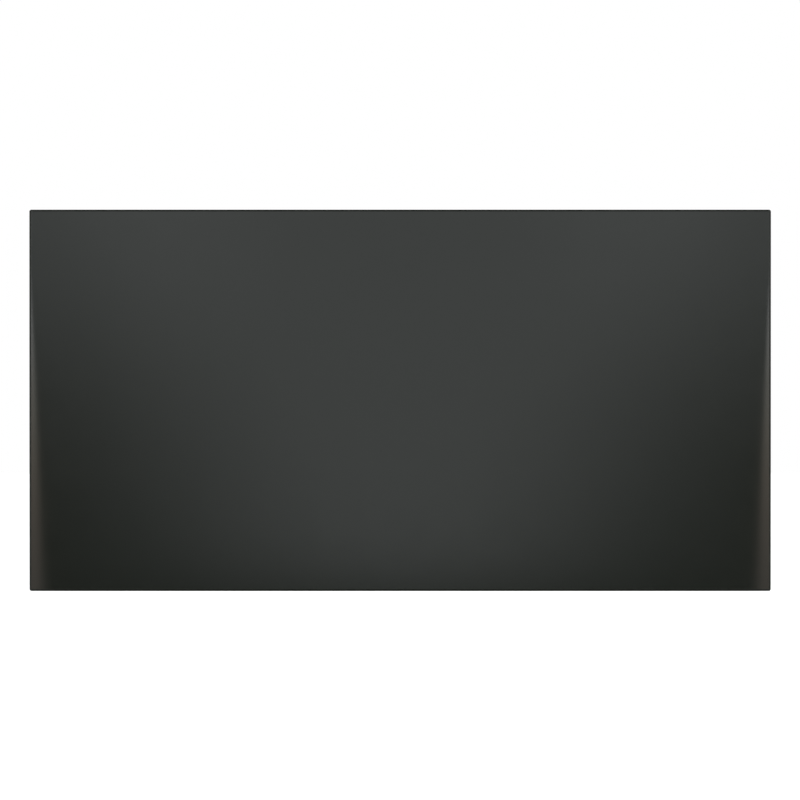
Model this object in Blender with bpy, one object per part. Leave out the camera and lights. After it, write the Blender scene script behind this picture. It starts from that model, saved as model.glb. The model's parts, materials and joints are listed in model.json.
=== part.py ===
"""A peel-and-stick kick plate for the bottom of a door.

A thin black-coated steel sheet is held by nine strips of double-sided foam tape on its back:
one along the top, one along the bottom, and seven uprights between them. Each strip keeps its
release liner, a film with a free tab at one end, until the plate is pressed onto the door.

Metres. X runs along the plate and Z up the door. The origin is the centre of the plane where
the back meets the door, with the door on the +Y side and the coated face looking along -Y.
"""

import math

import bmesh
import bpy

# The sheet: a plate for a 36 inch door, 35 by 18 inches of 0.050 inch steel.
PLATE_WIDTH = 0.8890
PLATE_HEIGHT = 0.4572
SHEET_THICKNESS = 0.00127
CORNER_RADIUS = 0.0024
BEVEL_WIDTH = 0.0020
BEVEL_DEPTH = 0.0006

# The tape: one inch wide acrylic foam and its release liner.
TAPE_WIDTH = 0.0254
TAPE_THICKNESS = 0.0011
LINER_THICKNESS = 0.00013
TAB_LENGTH = 0.012
TAB_CORNER_RADIUS = 0.005
EDGE_INSET = 0.014
END_INSET = 0.016
STRIP_GAP = 0.003
UPRIGHT_COUNT = 7

# A gap that stands for each bond line, so that no two solids touch.
BOND_LINE = 0.00003

# How far each layer's back lies from the door, along -Y.
LINER_BACK = 0.0
TAPE_BACK = LINER_BACK + LINER_THICKNESS + BOND_LINE
SHEET_BACK = TAPE_BACK + TAPE_THICKNESS + BOND_LINE

# Where the strips run.
STRIP_END_X = PLATE_WIDTH / 2 - END_INSET
ROW_Z = PLATE_HEIGHT / 2 - EDGE_INSET - TAPE_WIDTH / 2
UPRIGHT_END_Z = ROW_Z - TAPE_WIDTH / 2 - STRIP_GAP
UPRIGHT_X = STRIP_END_X - TAPE_WIDTH / 2

# Colours are linear red, green and blue.
COATING_COLOUR = (0.0101, 0.0118, 0.0096)
FOAM_COLOUR = (0.045, 0.045, 0.047)
FILM_COLOUR = (0.365, 0.0103, 0.0105)

COATING_ROUGHNESS = 0.14
FOAM_ROUGHNESS = 0.65
FILM_ROUGHNESS = 0.25

CORNER_STEPS = 6
SHARP_ANGLE = math.radians(20)


def clear_scene():
    for obj in list(bpy.data.objects):
        bpy.data.objects.remove(obj, do_unlink=True)


def make_material(name, colour, roughness):
    material = bpy.data.materials.new(name)
    material.use_nodes = True
    shader = material.node_tree.nodes["Principled BSDF"]
    shader.inputs["Base Color"].default_value = (*colour, 1.0)
    shader.inputs["Roughness"].default_value = roughness
    shader.inputs["Metallic"].default_value = 0.0
    return material


def rounded_rectangle(low, high, radii):
    """Corner points of a rectangle in X and Z, with one radius per corner.

    The radii go round from the low corner: low, then +X, then high, then -X. A radius of 0
    gives a square corner.
    """
    corners = (
        (low[0], low[1], 1, 1, 180),
        (high[0], low[1], -1, 1, 270),
        (high[0], high[1], -1, -1, 0),
        (low[0], high[1], 1, -1, 90),
    )
    points = []
    for (x, z, inward_x, inward_z, start), radius in zip(corners, radii):
        if radius == 0:
            points.append((x, z))
            continue
        for step in range(CORNER_STEPS + 1):
            angle = math.radians(start + 90 * step / CORNER_STEPS)
            points.append(
                (
                    x + inward_x * radius + radius * math.cos(angle),
                    z + inward_z * radius + radius * math.sin(angle),
                )
            )
    return points


def slab_mesh(name, points, thickness, bevel_width=0.0, bevel_depth=0.0):
    """A flat piece with its back at y = 0 and its front at y = -thickness.

    A bevel, if any, runs round the front.
    """
    shape = bmesh.new()
    outline = [shape.verts.new((x, 0.0, z)) for x, z in points]
    back = shape.faces.new(outline)
    grown = bmesh.ops.extrude_face_region(shape, geom=[back], use_keep_orig=True)
    front_verts = [v for v in grown["geom"] if isinstance(v, bmesh.types.BMVert)]
    front = [f for f in grown["geom"] if isinstance(f, bmesh.types.BMFace)]
    bmesh.ops.translate(shape, verts=front_verts, vec=(0.0, -(thickness - bevel_depth), 0.0))
    bmesh.ops.recalc_face_normals(shape, faces=shape.faces)
    if bevel_width > 0:
        bmesh.ops.inset_region(
            shape, faces=front, thickness=bevel_width, depth=bevel_depth, use_even_offset=True
        )
    mesh = bpy.data.meshes.new(name)
    shape.to_mesh(mesh)
    shape.free()
    mesh.shade_smooth()
    mesh.set_sharp_from_angle(angle=SHARP_ANGLE)
    return mesh


def add_node(name, mesh, location, material, parent):
    obj = bpy.data.objects.new(name, mesh)
    obj.location = location
    obj.parent = parent
    mesh.materials.append(material)
    bpy.context.scene.collection.objects.link(obj)
    return obj


def strip_layout():
    """Each strip as (label, centre, length, runs along X).

    The length is that of the whole liner, tab included. A strip that runs along X has its tab
    at the +X end, and an upright has it at the lower end.
    """
    row_length = 2 * STRIP_END_X + TAB_LENGTH
    strips = [
        ("top", (TAB_LENGTH / 2, ROW_Z), row_length, True),
        ("bottom", (TAB_LENGTH / 2, -ROW_Z), row_length, True),
    ]
    last = UPRIGHT_COUNT - 1
    for number in range(UPRIGHT_COUNT):
        label = {0: "left", last: "right"}.get(number, f"inner_{number}")
        x = UPRIGHT_X * (2 * number / last - 1)
        strips.append((label, (x, 0.0), 2 * UPRIGHT_END_Z, False))
    return strips


def strip_outline(length, along_x, tab_trim, tab_radius):
    """A strip's outline about its centre.

    tab_trim shortens it at the tab's end, and tab_radius rounds the two corners there.
    """
    half_width = TAPE_WIDTH / 2
    if along_x:
        low = (-length / 2, -half_width)
        high = (length / 2 - tab_trim, half_width)
        return rounded_rectangle(low, high, (0, tab_radius, tab_radius, 0))
    low = (-half_width, -length / 2 + tab_trim)
    high = (half_width, length / 2)
    return rounded_rectangle(low, high, (tab_radius, tab_radius, 0, 0))


def build_face_plate(parent):
    half = (PLATE_WIDTH / 2, PLATE_HEIGHT / 2)
    outline = rounded_rectangle((-half[0], -half[1]), half, (CORNER_RADIUS,) * 4)
    mesh = slab_mesh("face_plate", outline, SHEET_THICKNESS, BEVEL_WIDTH, BEVEL_DEPTH)
    coating = make_material("black_coating", COATING_COLOUR, COATING_ROUGHNESS)
    add_node("face_plate", mesh, (0.0, -SHEET_BACK, 0.0), coating, parent)


def build_tape_strips(parent):
    foam = make_material("tape_foam", FOAM_COLOUR, FOAM_ROUGHNESS)
    for label, (x, z), length, along_x in strip_layout():
        outline = strip_outline(length, along_x, TAB_LENGTH, 0)
        name = f"tape_{label}"
        mesh = slab_mesh(name, outline, TAPE_THICKNESS)
        add_node(name, mesh, (x, -TAPE_BACK, z), foam, parent)


def build_liners(parent):
    film = make_material("liner_film", FILM_COLOUR, FILM_ROUGHNESS)
    for label, (x, z), length, along_x in strip_layout():
        outline = strip_outline(length, along_x, 0, TAB_CORNER_RADIUS)
        name = f"liner_{label}"
        mesh = slab_mesh(name, outline, LINER_THICKNESS)
        add_node(name, mesh, (x, -LINER_BACK, z), film, parent)


def main():
    clear_scene()
    door_plane = bpy.data.objects.new("door_plane", None)
    bpy.context.scene.collection.objects.link(door_plane)
    build_face_plate(door_plane)
    build_tape_strips(door_plane)
    build_liners(door_plane)


main()
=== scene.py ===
"""The looks of the kick plate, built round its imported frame.

Metres, in the frame's own axes: X along the plate, Z up, the coated face looking along -Y and
the taped back along +Y. Every place comes from the boxes of the frame's nodes.
"""

import json
import math

import bmesh
import bpy
from mathutils import Matrix, Vector, noise

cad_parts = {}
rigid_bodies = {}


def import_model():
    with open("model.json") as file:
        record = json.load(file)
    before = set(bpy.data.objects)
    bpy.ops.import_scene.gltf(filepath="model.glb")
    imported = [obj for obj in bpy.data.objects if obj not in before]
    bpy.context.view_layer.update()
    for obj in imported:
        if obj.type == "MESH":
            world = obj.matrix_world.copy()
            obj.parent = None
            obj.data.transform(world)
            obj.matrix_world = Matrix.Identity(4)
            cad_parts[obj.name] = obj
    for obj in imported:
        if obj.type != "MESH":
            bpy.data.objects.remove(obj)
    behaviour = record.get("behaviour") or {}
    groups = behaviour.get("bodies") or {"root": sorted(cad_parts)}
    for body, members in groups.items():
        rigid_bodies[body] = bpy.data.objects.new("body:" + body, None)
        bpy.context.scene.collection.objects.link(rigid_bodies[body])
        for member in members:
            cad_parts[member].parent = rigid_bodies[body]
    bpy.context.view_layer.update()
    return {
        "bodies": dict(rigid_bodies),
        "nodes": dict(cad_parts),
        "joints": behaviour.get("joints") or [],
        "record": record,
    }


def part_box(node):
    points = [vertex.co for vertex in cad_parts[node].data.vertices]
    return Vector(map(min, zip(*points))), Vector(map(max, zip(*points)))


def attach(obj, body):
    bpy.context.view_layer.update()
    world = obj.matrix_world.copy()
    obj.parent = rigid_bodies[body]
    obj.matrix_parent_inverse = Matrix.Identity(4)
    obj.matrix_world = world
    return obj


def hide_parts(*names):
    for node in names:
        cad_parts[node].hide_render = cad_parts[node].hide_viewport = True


MM = 0.001

# The sheet's edges. The front one is bevelled and softened by the coating, and the back one is
# rounded a little. An edge's fullness is 2 where it is round and 1 where it is a flat bevel.
CORNER_RADIUS = 2.4 * MM
CORNER_STEPS = 8
FRONT_EDGE_WIDTH = 2.15 * MM
FRONT_EDGE_DEPTH = 0.6 * MM
FRONT_EDGE_FULLNESS = 1.30
FRONT_EDGE_STEPS = 8
BACK_EDGE_SIZE = 0.12 * MM
BACK_EDGE_FULLNESS = 2.0
BACK_EDGE_STEPS = 3

# The sheet's two ends are eased back towards the door. The eased strip is a wedge that starts
# near the top and widens downwards, and its bend softens as it widens.
EASE_START_Z = 0.190
EASE_TAPER = 0.0454
EASE_SLOPE = math.tan(math.radians(3.6))
EASE_LEAST_SOFTNESS = 0.35 * MM
EASE_SOFTENING = 0.42

# Spacing of the sheet's vertices: FINE_STEP within reach of its edges, and wider between.
FINE_STEP = 1.2 * MM
COLUMN_FINE_REACH = 24 * MM
COLUMN_STEP = 24 * MM
ROW_FINE_REACH = 6 * FINE_STEP
ROW_STEP = 8 * MM

# Each strip is a grid, with this many columns across it and these steps along it.
STRIP_COLUMNS = 12
FILM_STEP = 1.0 * MM
TAPE_STEP = 6 * MM

# The release film. Its outer side lies up to FILM_DEPTH in from its box, by ripples and creases,
# with a gap under it. The creases are lines across the strip, in patches, and lean by the skew.
FILM_THICKNESS = 0.13 * MM
FILM_RIPPLE = 0.10 * MM
FILM_CREASE = 0.16 * MM
FILM_DEPTH = FILM_RIPPLE + FILM_CREASE
FILM_GAP = 0.03 * MM
RIPPLE_CELLS = (28.0, 22.0)
CREASE_CELLS = (150.0, 26.0)
CREASE_SKEW = 0.45
CREASE_SHARPNESS = 4.0
PATCH_CELLS = 8.0
PATCH_SHARPNESS = 5.0

# The film's free tab. Its end sags through this share of the room between it and the sheet.
TAB_LENGTH = 12 * MM
TAB_CORNER = 5 * MM
TAB_SAG_SHARE = 0.7

# The foam tape. Its slit edges wander, and bulge between the film and the sheet. The levels are
# shares of the way from the film to the sheet.
TAPE_SHEET_GAP = 0.04 * MM
TAPE_BULGE = 0.12 * MM
TAPE_WANDER = 0.10 * MM
TAPE_WANDER_CELLS = 70.0
TAPE_EDGE_LEVELS = (0.12, 0.3, 0.5, 0.7, 0.88)

# Materials. Colours are linear red, green and blue, and scales are noise cells per metre. A pair
# of colours or roughnesses is what a pattern runs between. Most of a noise texture's values lie
# within NOISE_SPAN.
NOISE_SPAN = (0.3, 0.7)

COAT_COLOURS = ((0.0098, 0.0115, 0.0093), (0.0104, 0.0121, 0.0099))
COAT_CLOUD_SCALE = 9.0
COAT_ROUGHNESS = (0.130, 0.150)
COAT_GLOSS_SCALE = 30.0
COAT_IOR = 1.5
PEEL_SCALE = 520.0
PEEL_HEIGHT = 0.004 * MM
GRIT_SCALE = 2600.0
GRIT_HEIGHT = 0.001 * MM

# The rolled steel's streaks and grain run along X.
STEEL_COLOURS = ((0.440, 0.440, 0.450), (0.560, 0.555, 0.550))
STEEL_ROUGHNESS = (0.20, 0.30)
STREAK_SCALE = (1.6, 1.0, 260.0)
STREAK_SHARE = 0.7
STAIN_SCALE = 5.0
GRAIN_SCALE = (6.0, 1.0, 900.0)
GRAIN_HEIGHT = 0.004 * MM

# The black overspray on the steel fades out between these distances from the sheet's edge. The
# steel stops looking metallic where the spray covers it between these shares.
SPRAY_COLOUR = (0.0110, 0.0125, 0.0105)
SPRAY_REACH = (2.5 * MM, 5.5 * MM)
SPRAY_WANDER = 1.2 * MM
SPRAY_WANDER_SCALE = 30.0
SPRAY_SPECKLE = 4.0 * MM
SPRAY_SPECKLE_SCALE = 1400.0
SPRAY_ROUGHENING = 0.25
SPRAY_COVERS = (0.6, 0.95)

FOAM_COLOURS = ((0.036, 0.036, 0.038), (0.056, 0.056, 0.058))
FOAM_ROUGHNESS = (0.55, 0.75)
FOAM_CELL_SCALE = 4200.0
FOAM_CELL_DEPTH = 0.03 * MM
FOAM_CLOUD_SCALE = 300.0
FOAM_CLOUD_DEPTH = 0.05 * MM

FILM_COLOURS = ((0.345, 0.0090, 0.0095), (0.385, 0.0115, 0.0115))
FILM_ROUGHNESS = (0.20, 0.27)
FILM_CLOUD_SCALE = 25.0
FILM_EMBOSS_PITCH = 1.1 * MM
FILM_EMBOSS_HEIGHT = 0.006 * MM
CREASE_COLOUR = (0.560, 0.090, 0.080)
CREASE_SHOWS_FROM = 0.35
CREASE_PALENESS = 0.45
CREASE_ROUGHENING = 0.2

# The camera: square on, with the plate filling this share of the frame's width. It stands this
# far from the plate's middle in X and Z.
LENS_MM = 100.0
SENSOR_MM = 36.0
FRAME_SHARE = 0.9272
CAMERA_OFFSET = (-0.18 * MM, 0.42 * MM)

# The stage.
FLOOR_Z = -0.75
FLOOR_SIZE = 40.0
FLOOR_COLOUR = (0.85, 0.85, 0.85)
FLOOR_ROUGHNESS = 0.9
FLOOR_GLOW = 0.55

# The soft light in front of the plate, on a card behind the camera. Its lit shape is a blunt
# wedge that points down: it is where (x / width) ** power + (z / height) ** power < 1, about a
# centre high above the plate. It ends in a straight foot, and glows a little more in two round
# patches, one in each upper corner.
CARD_Y = -3.0
CARD_HALF_WIDTH = 2.3
CARD_Z = (-0.72, 1.05)
LIT_CENTRE_Z = 1.808
LIT_WIDTH = 3.127
LIT_HEIGHT = 3.459
LIT_POWER = 0.687
LIT_SOFTNESS = 0.559
LIT_FOOT_Z = (-0.48, -0.445)
LIT_COLOUR = (0.929, 0.964, 0.978)
GLOW_CENTRE = (0.775, 0.433)
GLOW_RADIUS = 0.547
GLOW_SHARE = 0.337

# The two narrow lights that the eased ends mirror, cool at the top and warm at the bottom. Each
# colour stands at a share of the card's height.
SIDE_CARD_X = (1.152, 1.72)
SIDE_CARD_Z = (-0.75, 0.55)
SIDE_COLOURS = (
    (0.20, (0.90, 0.77, 0.70)),
    (0.40, (1.44, 1.18, 1.00)),
    (0.57, (1.98, 1.86, 1.62)),
    (0.78, (3.40, 3.50, 3.62)),
)

# The studio that the glossy surfaces mirror: dark in front, grey walls at the sides and behind,
# with soft windows in the walls behind, and brighter overhead. X, Y and Z are a direction's own.
# A side wall fades in over WALL_X, or where X times Z passes CORNER_XZ, and the wall behind over
# BEHIND_Y. What sets the back's light apart from the front's fades in over TURN_Y.
WALL_X = (0.55, 0.85)
CORNER_XZ = (0.06, 0.20)
BEHIND_Y = (0.05, 0.6)
TURN_Y = (-0.1, 0.3)
OVERHEAD_Z = (-0.7, 0.9)
OVERHEAD_GLOSS = (0.70, 1.15)
WALL_GLOSS = 0.85
FRONT_GLOSS = 0.02
WINDOW_PACE = 6.5
WINDOW_GLOSS = (0.55, 1.45)

# How strongly the walls light the back with diffuse light. The front gets 1.
BACK_FILL = 0.50

# The lamp behind, in metres and watts.
BACK_LAMP_PLACE = (1.5, 0.95, 1.8)
BACK_LAMP_SIZE = 0.5
BACK_LAMP_WATTS = 100.0


# ---------------------------------------------------------------- materials


class Shading:
    """A node tree being built, with short calls for the nodes this scene uses."""

    def __init__(self, tree):
        self.tree = tree
        tree.nodes.clear()

    def feed(self, socket, value):
        if isinstance(value, bpy.types.NodeSocket):
            self.tree.links.new(value, socket)
        elif socket.type == "RGBA":
            socket.default_value = (*value, 1.0)
        else:
            socket.default_value = value

    def node(self, kind, inputs=None, **settings):
        made = self.tree.nodes.new(kind)
        for name, value in settings.items():
            setattr(made, name, value)
        for socket, value in (inputs or {}).items():
            self.feed(made.inputs[socket], value)
        return made

    def math(self, operation, a, b=0.0):
        return self.node("ShaderNodeMath", {0: a, 1: b}, operation=operation).outputs[0]

    def place(self):
        return self.node("ShaderNodeTexCoord").outputs["Object"]

    def split(self, vector):
        return self.node("ShaderNodeSeparateXYZ", {0: vector}).outputs

    def stretch(self, vector, scale):
        inputs = {"Vector": vector, "Scale": scale}
        return self.node("ShaderNodeMapping", inputs).outputs[0]

    def noise(self, vector, scale, detail=2.0, roughness=0.5):
        inputs = {"Vector": vector, "Scale": scale, "Detail": detail, "Roughness": roughness}
        return self.node("ShaderNodeTexNoise", inputs).outputs[0]

    def remap(self, value, low, high, to_low, to_high, smooth=False):
        inputs = {
            "Value": value,
            "From Min": low,
            "From Max": high,
            "To Min": to_low,
            "To Max": to_high,
        }
        kind = "SMOOTHSTEP" if smooth else "LINEAR"
        return self.node("ShaderNodeMapRange", inputs, interpolation_type=kind).outputs[0]

    def spread(self, pattern, low, high):
        """A noise pattern, stretched to run from low to high."""
        return self.remap(pattern, *NOISE_SPAN, low, high)

    def mix(self, share, a, b):
        mixer = self.node("ShaderNodeMix", {0: share}, data_type="RGBA")
        self.feed(mixer.inputs[6], a)
        self.feed(mixer.inputs[7], b)
        return mixer.outputs[2]

    def ramp(self, value, stops):
        """Colours by value, from stops of (value, colour)."""
        made = self.node("ShaderNodeValToRGB", {0: value})
        elements = made.color_ramp.elements
        elements[0].position = stops[0][0]
        elements[0].color = (*stops[0][1], 1.0)
        elements[1].position = stops[-1][0]
        elements[1].color = (*stops[-1][1], 1.0)
        for position, colour in stops[1:-1]:
            elements.new(position).color = (*colour, 1.0)
        return made.outputs[0]

    def bump(self, height, distance, strength=1.0, normal=None):
        inputs = {"Height": height, "Distance": distance, "Strength": strength}
        made = self.node("ShaderNodeBump", inputs)
        if normal is not None:
            self.feed(made.inputs["Normal"], normal)
        return made.outputs[0]

    def finish_surface(self, shader):
        self.node("ShaderNodeOutputMaterial", {"Surface": shader.outputs[0]})


def new_material(name):
    material = bpy.data.materials.new(name)
    material.use_nodes = True
    return material, Shading(material.node_tree)


def coating_material():
    """Satin black powder coat, with its faint orange peel."""
    material, s = new_material("black_powder_coat")
    place = s.place()
    cloud = s.spread(s.noise(place, COAT_CLOUD_SCALE, 3.0), 0.0, 1.0)
    peel = s.noise(place, PEEL_SCALE, 2.0)
    grit = s.noise(place, GRIT_SCALE, 1.0)
    normal = s.bump(peel, PEEL_HEIGHT, 0.5)
    normal = s.bump(grit, GRIT_HEIGHT, 0.4, normal)
    shader = s.node(
        "ShaderNodeBsdfPrincipled",
        {
            "Base Color": s.mix(cloud, *COAT_COLOURS),
            "Roughness": s.spread(s.noise(place, COAT_GLOSS_SCALE, 4.0), *COAT_ROUGHNESS),
            "Normal": normal,
            "IOR": COAT_IOR,
        },
    )
    s.finish_surface(shader)
    return material


def steel_material(half_width, half_height):
    """The bare back of the sheet: rolled steel, with black overspray round its rim."""
    material, s = new_material("bare_rolled_steel")
    place = s.place()
    sprayed = overspray(s, place, half_width, half_height)
    streaks = s.noise(s.stretch(place, STREAK_SCALE), 1.0, 6.0, 0.62)
    stain = s.noise(place, STAIN_SCALE, 4.0, 0.6)
    streak_tone = s.spread(streaks, 0.0, STREAK_SHARE)
    tone = s.math("ADD", streak_tone, s.spread(stain, 0.0, 1 - STREAK_SHARE))
    bare = s.mix(tone, *STEEL_COLOURS)
    bare_roughness = s.spread(streaks, *STEEL_ROUGHNESS)
    roughening = s.math("MULTIPLY", sprayed, SPRAY_ROUGHENING)
    grain = s.noise(s.stretch(place, GRAIN_SCALE), 1.0, 3.0, 0.6)
    shader = s.node(
        "ShaderNodeBsdfPrincipled",
        {
            "Base Color": s.mix(sprayed, bare, SPRAY_COLOUR),
            "Metallic": s.remap(sprayed, *SPRAY_COVERS, 1.0, 0.0),
            "Roughness": s.math("ADD", bare_roughness, roughening),
            "Normal": s.bump(grain, GRAIN_HEIGHT, 0.5),
        },
    )
    s.finish_surface(shader)
    return material


def overspray(s, place, half_width, half_height):
    """1 at the sheet's rim, where the black coat has crept round, and 0 further in."""
    x, _, z = s.split(place)
    from_end = s.math("SUBTRACT", half_width, s.math("ABSOLUTE", x))
    from_long_edge = s.math("SUBTRACT", half_height, s.math("ABSOLUTE", z))
    inward = s.math("MINIMUM", from_end, from_long_edge)
    wander = s.spread(s.noise(place, SPRAY_WANDER_SCALE, 3.0), -SPRAY_WANDER, SPRAY_WANDER)
    speckle = s.spread(s.noise(place, SPRAY_SPECKLE_SCALE, 2.0), -SPRAY_SPECKLE, SPRAY_SPECKLE)
    reach = s.math("ADD", s.math("ADD", inward, wander), speckle)
    return s.remap(reach, *SPRAY_REACH, 1.0, 0.0, smooth=True)


def foam_material():
    """Closed-cell acrylic foam, dark grey and slightly tacky."""
    material, s = new_material("acrylic_foam")
    place = s.place()
    inputs = {"Vector": place, "Scale": FOAM_CELL_SCALE}
    cells = s.node("ShaderNodeTexVoronoi", inputs).outputs[0]
    cloud = s.noise(place, FOAM_CLOUD_SCALE, 3.0)
    normal = s.bump(cells, FOAM_CELL_DEPTH, 0.6)
    normal = s.bump(cloud, FOAM_CLOUD_DEPTH, 0.4, normal)
    shader = s.node(
        "ShaderNodeBsdfPrincipled",
        {
            "Base Color": s.mix(s.spread(cloud, 0.0, 1.0), *FOAM_COLOURS),
            "Roughness": s.spread(cloud, *FOAM_ROUGHNESS),
            "Normal": normal,
        },
    )
    s.finish_surface(shader)
    return material


def film_material():
    """Red polyethylene release film: finely embossed, and paler and duller along its creases."""
    material, s = new_material("red_release_film")
    place = s.place()
    x, _, z = s.split(place)
    turn = 2 * math.pi / FILM_EMBOSS_PITCH
    rising = s.math("SINE", s.math("MULTIPLY", s.math("ADD", x, z), turn))
    falling = s.math("SINE", s.math("MULTIPLY", s.math("SUBTRACT", x, z), turn))
    emboss = s.math("MULTIPLY", rising, falling)
    cloud = s.noise(place, FILM_CLOUD_SCALE, 3.0)
    crease = s.node("ShaderNodeAttribute", attribute_name="crease").outputs["Fac"]
    paleness = s.remap(crease, CREASE_SHOWS_FROM, 1.0, 0.0, CREASE_PALENESS)
    plain = s.mix(s.spread(cloud, 0.0, 1.0), *FILM_COLOURS)
    plain_roughness = s.spread(cloud, *FILM_ROUGHNESS)
    roughening = s.remap(crease, 0.0, 1.0, 0.0, CREASE_ROUGHENING)
    shader = s.node(
        "ShaderNodeBsdfPrincipled",
        {
            "Base Color": s.mix(paleness, plain, CREASE_COLOUR),
            "Roughness": s.math("ADD", plain_roughness, roughening),
            "Normal": s.bump(emboss, FILM_EMBOSS_HEIGHT, 0.5),
        },
    )
    s.finish_surface(shader)
    return material


# ---------------------------------------------------------------- the sheet


def even_places(low, high, step):
    """Evenly spaced values from low to high, both included, about step apart."""
    count = max(1, round((high - low) / step))
    return [low + (high - low) * i / count for i in range(count + 1)]


def fine_ended_places(half, reach, step):
    """Values from -half to half: FINE_STEP apart within reach of each end, step between."""
    near_end = even_places(half - reach, half, FINE_STEP)
    middle = even_places(reach - half, half - reach, step)
    return [-v for v in reversed(near_end)] + middle[1:-1] + near_end


def soft_ramp(value, softness):
    """0 below 0 and value above it, with the corner rounded over a few times softness."""
    return softness * math.log1p(math.exp(value / softness))


def ease(x, z, half_width):
    """How far the sheet's end is eased towards the door at this place."""
    wedge = max(0.0, EASE_TAPER * (EASE_START_Z - z))
    from_end = half_width - abs(x)
    softness = EASE_LEAST_SOFTNESS + EASE_SOFTENING * wedge
    return EASE_SLOPE * soft_ramp(wedge - from_end, softness)


def back_at(corner, place):
    """The Y of the sheet's eased back at a place. corner is the box's corner at the back."""
    return corner.y + ease(place.x, place.z, corner.x)


def rim_stations(columns, rows):
    """Where the rim's cross-sections stand, anticlockwise from the lower left corner.

    Each is the grid place that it grows from, as column and row numbers, and the direction it
    grows in.
    """
    last_column = len(columns) - 1
    last_row = len(rows) - 1
    sides = (
        ([(c, 0) for c in range(last_column + 1)], -90),
        ([(last_column, r) for r in range(last_row + 1)], 0),
        ([(c, last_row) for c in range(last_column, -1, -1)], 90),
        ([(0, r) for r in range(last_row, -1, -1)], 180),
    )
    stations = []
    for places, angle in sides:
        stations += [(place, math.radians(angle)) for place in places]
        for step in range(1, CORNER_STEPS):
            stations.append((places[-1], math.radians(angle + 90 * step / CORNER_STEPS)))
    return stations


def edge_section(width, depth, fullness, steps):
    """An edge's section as (distance in from the edge, distance below the face)."""
    section = []
    for step in range(steps + 1):
        angle = math.pi / 2 * step / steps
        inward = width * (1 - abs(math.cos(angle)) ** (2 / fullness))
        below = depth * (1 - math.sin(angle) ** (2 / fullness))
        section.append((inward, below))
    return section


def add_face(shape, corners, material_index):
    """A face on these corners, where neighbours that are the same vertex count once."""
    distinct = [v for i, v in enumerate(corners) if v is not corners[i - 1]]
    face = shape.faces.new(distinct)
    face.material_index = material_index
    return face


def build_skin(shape, columns, rows, stations, section, face_y, into, material_index):
    """One face of the sheet and the edge round it. Returns the outermost ring.

    into is the direction along Y from the face into the sheet.
    """
    grid = [[shape.verts.new((x, face_y, z)) for z in rows] for x in columns]
    for c in range(len(columns) - 1):
        for r in range(len(rows) - 1):
            corners = (grid[c][r], grid[c + 1][r], grid[c + 1][r + 1], grid[c][r + 1])
            add_face(shape, corners, material_index)
    inner = [grid[c][r] for (c, r), _ in stations]
    for inward, depth in reversed(section):
        grown = CORNER_RADIUS - inward
        ring = []
        for (c, r), angle in stations:
            x = columns[c] + grown * math.cos(angle)
            z = rows[r] + grown * math.sin(angle)
            ring.append(shape.verts.new((x, face_y + into * depth, z)))
        join_rings(shape, inner, ring, material_index)
        inner = ring
    return inner


def join_rings(shape, inner, outer, material_index):
    """A band of faces between two rings with the same number of vertices."""
    for i in range(len(outer)):
        corners = (inner[i - 1], outer[i - 1], outer[i], inner[i])
        add_face(shape, corners, material_index)


def build_sheet():
    low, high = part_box("face_plate")
    half_width, half_height = high.x, high.z
    columns = fine_ended_places(half_width - CORNER_RADIUS, COLUMN_FINE_REACH, COLUMN_STEP)
    rows = fine_ended_places(half_height - CORNER_RADIUS, ROW_FINE_REACH, ROW_STEP)
    stations = rim_stations(columns, rows)
    shape = bmesh.new()
    front_size = (FRONT_EDGE_WIDTH, FRONT_EDGE_DEPTH)
    front_section = edge_section(*front_size, FRONT_EDGE_FULLNESS, FRONT_EDGE_STEPS)
    back_size = (BACK_EDGE_SIZE, BACK_EDGE_SIZE)
    back_section = edge_section(*back_size, BACK_EDGE_FULLNESS, BACK_EDGE_STEPS)
    front_rim = build_skin(shape, columns, rows, stations, front_section, low.y, 1, 0)
    back_rim = build_skin(shape, columns, rows, stations, back_section, high.y, -1, 1)
    join_rings(shape, front_rim, back_rim, 0)
    for vert in shape.verts:
        vert.co.y += ease(vert.co.x, vert.co.z, half_width)
    sheet = solid_object("coated_sheet", shape)
    sheet.data.materials.append(coating_material())
    sheet.data.materials.append(steel_material(half_width, half_height))
    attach(sheet, "plate")
    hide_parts("face_plate")
    return sheet


def solid_object(name, shape, sharp_degrees=40):
    """A closed mesh object, its faces pointing out and shaded smooth."""
    bmesh.ops.recalc_face_normals(shape, faces=shape.faces)
    mesh = bpy.data.meshes.new(name)
    shape.to_mesh(mesh)
    shape.free()
    mesh.shade_smooth()
    mesh.set_sharp_from_angle(angle=math.radians(sharp_degrees))
    obj = bpy.data.objects.new(name, mesh)
    bpy.context.scene.collection.objects.link(obj)
    return obj


# ---------------------------------------------------------------- tape and liners


class StripFrame:
    """A strip's own axes: along from its plain end to its tab end, and across its width."""

    def __init__(self, node):
        low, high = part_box(node)
        self.low, self.high = low, high
        self.middle = (low + high) / 2
        self.along_x = high.x - low.x > high.z - low.z
        self.length = high.x - low.x if self.along_x else high.z - low.z
        self.width = high.z - low.z if self.along_x else high.x - low.x

    def point(self, along, across, y):
        if self.along_x:
            return Vector((self.low.x + along, y, self.middle.z + across))
        return Vector((self.middle.x + across, y, self.high.z - along))


def strip_places(alongs, half_width_at, grow=0.0):
    """A grid of (along, across) places over a strip, grown outwards all round by grow."""
    places = []
    for along in alongs:
        half = half_width_at(along) + grow
        moved = {alongs[0]: along - grow, alongs[-1]: along + grow}.get(along, along)
        steps = range(STRIP_COLUMNS + 1)
        places.append([(moved, half * (2 * step / STRIP_COLUMNS - 1)) for step in steps])
    return places


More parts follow.
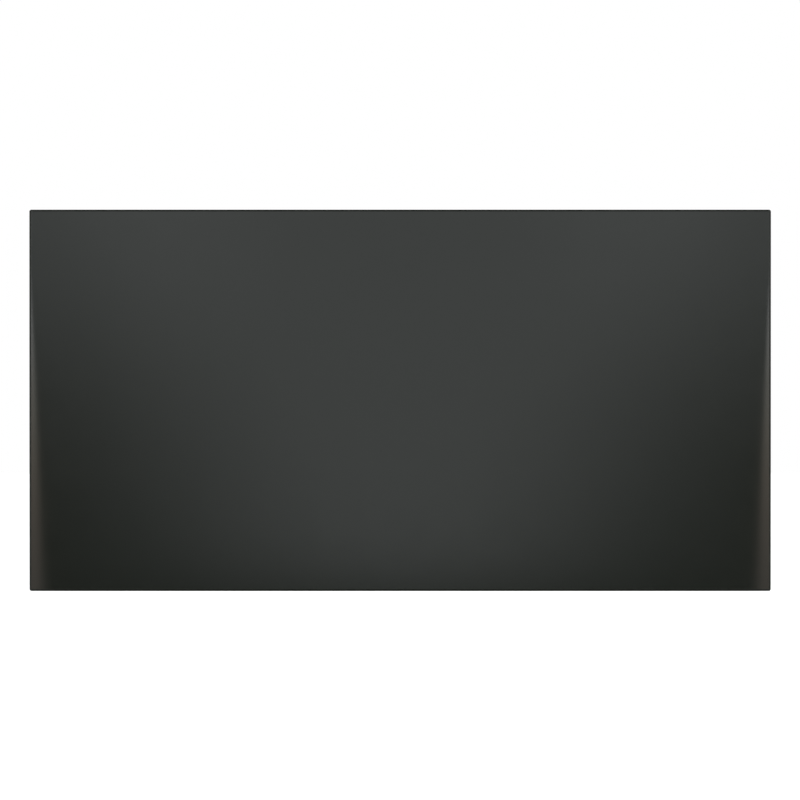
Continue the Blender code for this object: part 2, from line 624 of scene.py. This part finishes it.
def strip_skin(shape, frame, places, height_at):
    """A grid of faces over a strip. height_at gives the Y of a place on it."""
    grid = []
    for row in places:
        grid.append([shape.verts.new(frame.point(*place, height_at(*place))) for place in row])
    for a, b in zip(grid, grid[1:]):
        for i in range(STRIP_COLUMNS):
            shape.faces.new((a[i], a[i + 1], b[i + 1], b[i]))
    return grid


def flat(grid):
    """A grid's items in one list, row by row."""
    return [item for row in grid for item in row]


def border(grid):
    """A grid's outermost items, in order round it."""
    first_side = [row[0] for row in grid]
    second_side = [row[-1] for row in grid]
    return grid[0][1:-1] + second_side + grid[-1][-2:0:-1] + first_side[::-1]


def crease_at(along, across, seed):
    """How creased the film is at a place, from 0 to 1: crisp lines across it, in patches."""
    skewed = along + CREASE_SKEW * across
    fold = noise.noise(Vector((skewed * CREASE_CELLS[0], across * CREASE_CELLS[1], seed)))
    patch = noise.noise(Vector((along * PATCH_CELLS, 0.0, seed)))
    worn = min(1.0, max(0.0, PATCH_SHARPNESS * patch))
    return worn * max(0.0, 1 - CREASE_SHARPNESS * abs(fold))


def film_depth(along, across, seed):
    """How far in from its box the film's outer side lies at a place."""
    ripple = noise.noise(Vector((along * RIPPLE_CELLS[0], across * RIPPLE_CELLS[1], seed)))
    return FILM_RIPPLE * (0.5 + 0.5 * ripple) + FILM_CREASE * crease_at(along, across, seed)


def build_liner(label, film):
    """The release film: it lies on its tape in shallow ripples, and its free tab sags."""
    node = f"liner_{label}"
    frame = StripFrame(node)
    sheet_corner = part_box("face_plate")[1]
    tab_start = frame.length - TAB_LENGTH
    corner_start = frame.length - TAB_CORNER
    straight = even_places(0.0, corner_start, FILM_STEP)
    turns = [math.pi / 2 * step / CORNER_STEPS for step in range(1, CORNER_STEPS + 1)]
    rounded = [corner_start + TAB_CORNER * math.sin(turn) for turn in turns]
    seed = sum(ord(letter) for letter in label)

    def half_width_at(along):
        past = max(0.0, along - corner_start)
        lost = TAB_CORNER - math.sqrt(max(0.0, TAB_CORNER**2 - past**2))
        return frame.width / 2 - lost

    def outer_at(along, across):
        place = frame.point(along, across, frame.high.y)
        lowest = back_at(sheet_corner, place) + FILM_GAP + FILM_THICKNESS
        resting = max(lowest, place.y - film_depth(along, across, seed))
        sag = max(0.0, (along - tab_start) / TAB_LENGTH)
        return resting - TAB_SAG_SHARE * (resting - lowest) * sag * sag

    def inner_at(along, across):
        return outer_at(along, across) - FILM_THICKNESS

    shape = bmesh.new()
    crease = shape.verts.layers.float.new("crease")
    places = strip_places(straight + rounded, half_width_at)
    outer = strip_skin(shape, frame, places, outer_at)
    inner = strip_skin(shape, frame, places, inner_at)
    for vert, place in zip(flat(outer + inner), flat(places + places)):
        vert[crease] = crease_at(*place, seed)
    join_rings(shape, border(outer), border(inner), 0)
    liner = solid_object(f"film_{label}", shape)
    liner.data.materials.append(film)
    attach(liner, node)
    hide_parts(node)
    return liner


def build_tape(label, foam):
    """The foam under the film, its slit edges pressed out a little and not quite straight."""
    node = f"tape_{label}"
    frame = StripFrame(node)
    sheet_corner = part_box("face_plate")[1]
    outer_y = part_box(f"liner_{label}")[1].y - FILM_DEPTH - FILM_THICKNESS - FILM_GAP
    seed = 3.1 * sum(ord(letter) for letter in label)

    def half_width_at(along):
        wander = noise.noise(Vector((along * TAPE_WANDER_CELLS, seed, 0)))
        return frame.width / 2 - TAPE_WANDER * (1 + wander)

    def inner_at(along, across):
        return back_at(sheet_corner, frame.point(along, across, outer_y)) + TAPE_SHEET_GAP

    shape = bmesh.new()
    alongs = even_places(TAPE_BULGE, frame.length - TAPE_BULGE, TAPE_STEP)
    places = strip_places(alongs, half_width_at)
    outer = strip_skin(shape, frame, places, lambda along, across: outer_y)
    inner = strip_skin(shape, frame, places, inner_at)
    ring = border(outer)
    for level in TAPE_EDGE_LEVELS:
        pressed = strip_places(alongs, half_width_at, TAPE_BULGE * math.sin(math.pi * level))
        bulged = []
        for place in border(pressed):
            y = outer_y + (inner_at(*place) - outer_y) * level
            bulged.append(shape.verts.new(frame.point(*place, y)))
        join_rings(shape, ring, bulged, 0)
        ring = bulged
    join_rings(shape, ring, border(inner), 0)
    tape = solid_object(f"foam_{label}", shape)
    tape.data.materials.append(foam)
    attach(tape, "plate")
    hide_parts(node)
    return tape


# ---------------------------------------------------------------- camera, stage and light


def add_camera():
    low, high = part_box("face_plate")
    camera = bpy.data.cameras.new("camera")
    camera.lens = LENS_MM
    camera.sensor_width = SENSOR_MM
    camera.dof.use_dof = False
    obj = bpy.data.objects.new("camera", camera)
    bpy.context.scene.collection.objects.link(obj)
    frame_width = (high.x - low.x) / FRAME_SHARE
    middle = (low + high) / 2
    distance = frame_width * LENS_MM / SENSOR_MM
    off_x, off_z = CAMERA_OFFSET
    obj.location = (middle.x + off_x, low.y - distance, middle.z + off_z)
    obj.rotation_euler = (math.radians(90), 0, 0)
    bpy.context.scene.camera = obj


def add_plane(name, size, matrix):
    """A flat piece of the stage, lying in X and Y before matrix moves it."""
    shape = bmesh.new()
    bmesh.ops.create_grid(shape, x_segments=1, y_segments=1, size=0.5)
    mesh = bpy.data.meshes.new(name)
    shape.to_mesh(mesh)
    shape.free()
    obj = bpy.data.objects.new(name, mesh)
    bpy.context.scene.collection.objects.link(obj)
    mesh.transform(Matrix.Diagonal((size[0], size[1], 1.0, 1.0)))
    obj.matrix_world = matrix
    return obj


def add_floor():
    floor = add_plane("floor", (FLOOR_SIZE, FLOOR_SIZE), Matrix.Translation((0, 0, FLOOR_Z)))
    material, s = new_material("pale_floor")
    shader = s.node(
        "ShaderNodeBsdfPrincipled",
        {
            "Base Color": FLOOR_COLOUR,
            "Roughness": FLOOR_ROUGHNESS,
            "Emission Color": (1, 1, 1),
            "Emission Strength": FLOOR_GLOW,
        },
    )
    s.finish_surface(shader)
    floor.data.materials.append(material)
    floor.visible_glossy = False


def light_card(name, size, centre):
    """An upright plane square to Y, which the camera doesn't see, and its empty node tree."""
    turned = Matrix.Translation(centre) @ Matrix.Rotation(math.radians(90), 4, "X")
    card = add_plane(name, size, turned)
    card.visible_camera = False
    card.visible_shadow = False
    material, s = new_material(name)
    card.data.materials.append(material)
    return s


def add_front_light():
    bottom, top = CARD_Z
    middle_z = (bottom + top) / 2
    s = light_card("front_card", (2 * CARD_HALF_WIDTH, top - bottom), (0, CARD_Y, middle_z))
    x, up, _ = s.split(s.place())
    across = s.math("ABSOLUTE", x)
    height = s.math("ADD", up, middle_z)
    strength = s.math("MULTIPLY", blunt_wedge(s, across, height), corner_glow(s, across, height))
    s.finish_surface(s.node("ShaderNodeEmission", {"Color": LIT_COLOUR, "Strength": strength}))


def blunt_wedge(s, across, height):
    """1 inside the lit shape and 0 outside it."""
    x = s.math("DIVIDE", across, LIT_WIDTH)
    z = s.math("DIVIDE", s.math("SUBTRACT", LIT_CENTRE_Z, height), LIT_HEIGHT)
    total = s.math("ADD", s.math("POWER", x, LIT_POWER), s.math("POWER", z, LIT_POWER))
    reach = s.math("POWER", total, 1 / LIT_POWER)
    lit = s.remap(reach, 1 - LIT_SOFTNESS / 2, 1 + LIT_SOFTNESS / 2, 1.0, 0.0, smooth=True)
    above_foot = s.remap(height, *LIT_FOOT_Z, 0.0, 1.0, smooth=True)
    return s.math("MULTIPLY", lit, above_foot)


def corner_glow(s, across, height):
    """1, and a little more in the upper corners."""
    place = s.node("ShaderNodeCombineXYZ", {0: across, 1: height}).outputs[0]
    inputs = {0: place, 1: (*GLOW_CENTRE, 0)}
    away = s.node("ShaderNodeVectorMath", inputs, operation="DISTANCE").outputs["Value"]
    return s.remap(away, 0.0, GLOW_RADIUS, 1 + GLOW_SHARE, 1.0, smooth=True)


def add_side_lights():
    inner, outer = SIDE_CARD_X
    bottom, top = SIDE_CARD_Z
    size = (outer - inner, top - bottom)
    for side, name in ((-1, "left_card"), (1, "right_card")):
        centre = (side * (inner + outer) / 2, CARD_Y + 0.02, (bottom + top) / 2)
        s = light_card(name, size, centre)
        _, up, _ = s.split(s.place())
        height = s.remap(up, -size[1] / 2, size[1] / 2, 0.0, 1.0)
        colour = s.ramp(height, SIDE_COLOURS)
        s.finish_surface(s.node("ShaderNodeEmission", {"Color": colour, "Strength": 1.0}))


def add_world():
    """White to the camera. To the object it is a studio, dark in front and with windows behind."""
    world = bpy.data.worlds.new("studio")
    world.use_nodes = True
    bpy.context.scene.world = world
    s = Shading(world.node_tree)
    x, y, z = s.split(s.node("ShaderNodeTexCoord").outputs["Generated"])
    mirrored = studio_gloss(s, x, y, z)
    diffuse = s.remap(y, *TURN_Y, 1.0, BACK_FILL, smooth=True)
    path = s.node("ShaderNodeLightPath").outputs
    strength = s.remap(path["Is Diffuse Ray"], 0.0, 1.0, mirrored, diffuse)
    strength = s.remap(path["Is Camera Ray"], 0.0, 1.0, strength, 1.0)
    background = s.node("ShaderNodeBackground", {"Color": (1, 1, 1), "Strength": strength})
    s.node("ShaderNodeOutputWorld", {"Surface": background.outputs[0]})


def studio_gloss(s, x, y, z):
    """How bright a glossy surface sees the studio in a direction."""
    sides = s.remap(s.math("ABSOLUTE", x), *WALL_X, FRONT_GLOSS, WALL_GLOSS, smooth=True)
    diagonal = s.math("ABSOLUTE", s.math("MULTIPLY", x, z))
    corners = s.remap(diagonal, *CORNER_XZ, FRONT_GLOSS, WALL_GLOSS, smooth=True)
    behind = s.remap(y, *BEHIND_Y, 0.0, WALL_GLOSS, smooth=True)
    wave = s.math("SINE", s.math("MULTIPLY", x, WINDOW_PACE))
    windows = s.remap(y, *TURN_Y, 1.0, s.remap(wave, -1.0, 1.0, *WINDOW_GLOSS, smooth=True))
    walls = s.math("MAXIMUM", s.math("MAXIMUM", sides, corners), behind)
    overhead = s.remap(z, *OVERHEAD_Z, *OVERHEAD_GLOSS)
    return s.math("MULTIPLY", s.math("MULTIPLY", walls, windows), overhead)


def add_back_light():
    """A lamp that rakes across the taped back, from high behind the +X end."""
    lamp = bpy.data.lights.new("back_lamp", "AREA")
    lamp.energy = BACK_LAMP_WATTS
    lamp.size = BACK_LAMP_SIZE
    obj = bpy.data.objects.new("back_lamp", lamp)
    bpy.context.scene.collection.objects.link(obj)
    obj.location = BACK_LAMP_PLACE
    obj.rotation_euler = (-Vector(BACK_LAMP_PLACE)).to_track_quat("-Z", "Y").to_euler()


def main():
    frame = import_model()
    bpy.context.scene.view_settings.view_transform = "Standard"
    build_sheet()
    foam = foam_material()
    film = film_material()
    labels = [name.removeprefix("tape_") for name in frame["nodes"] if name.startswith("tape_")]
    for label in sorted(labels):
        build_tape(label, foam)
        build_liner(label, film)
    add_camera()
    add_floor()
    add_front_light()
    add_side_lights()
    add_back_light()
    add_world()


main()
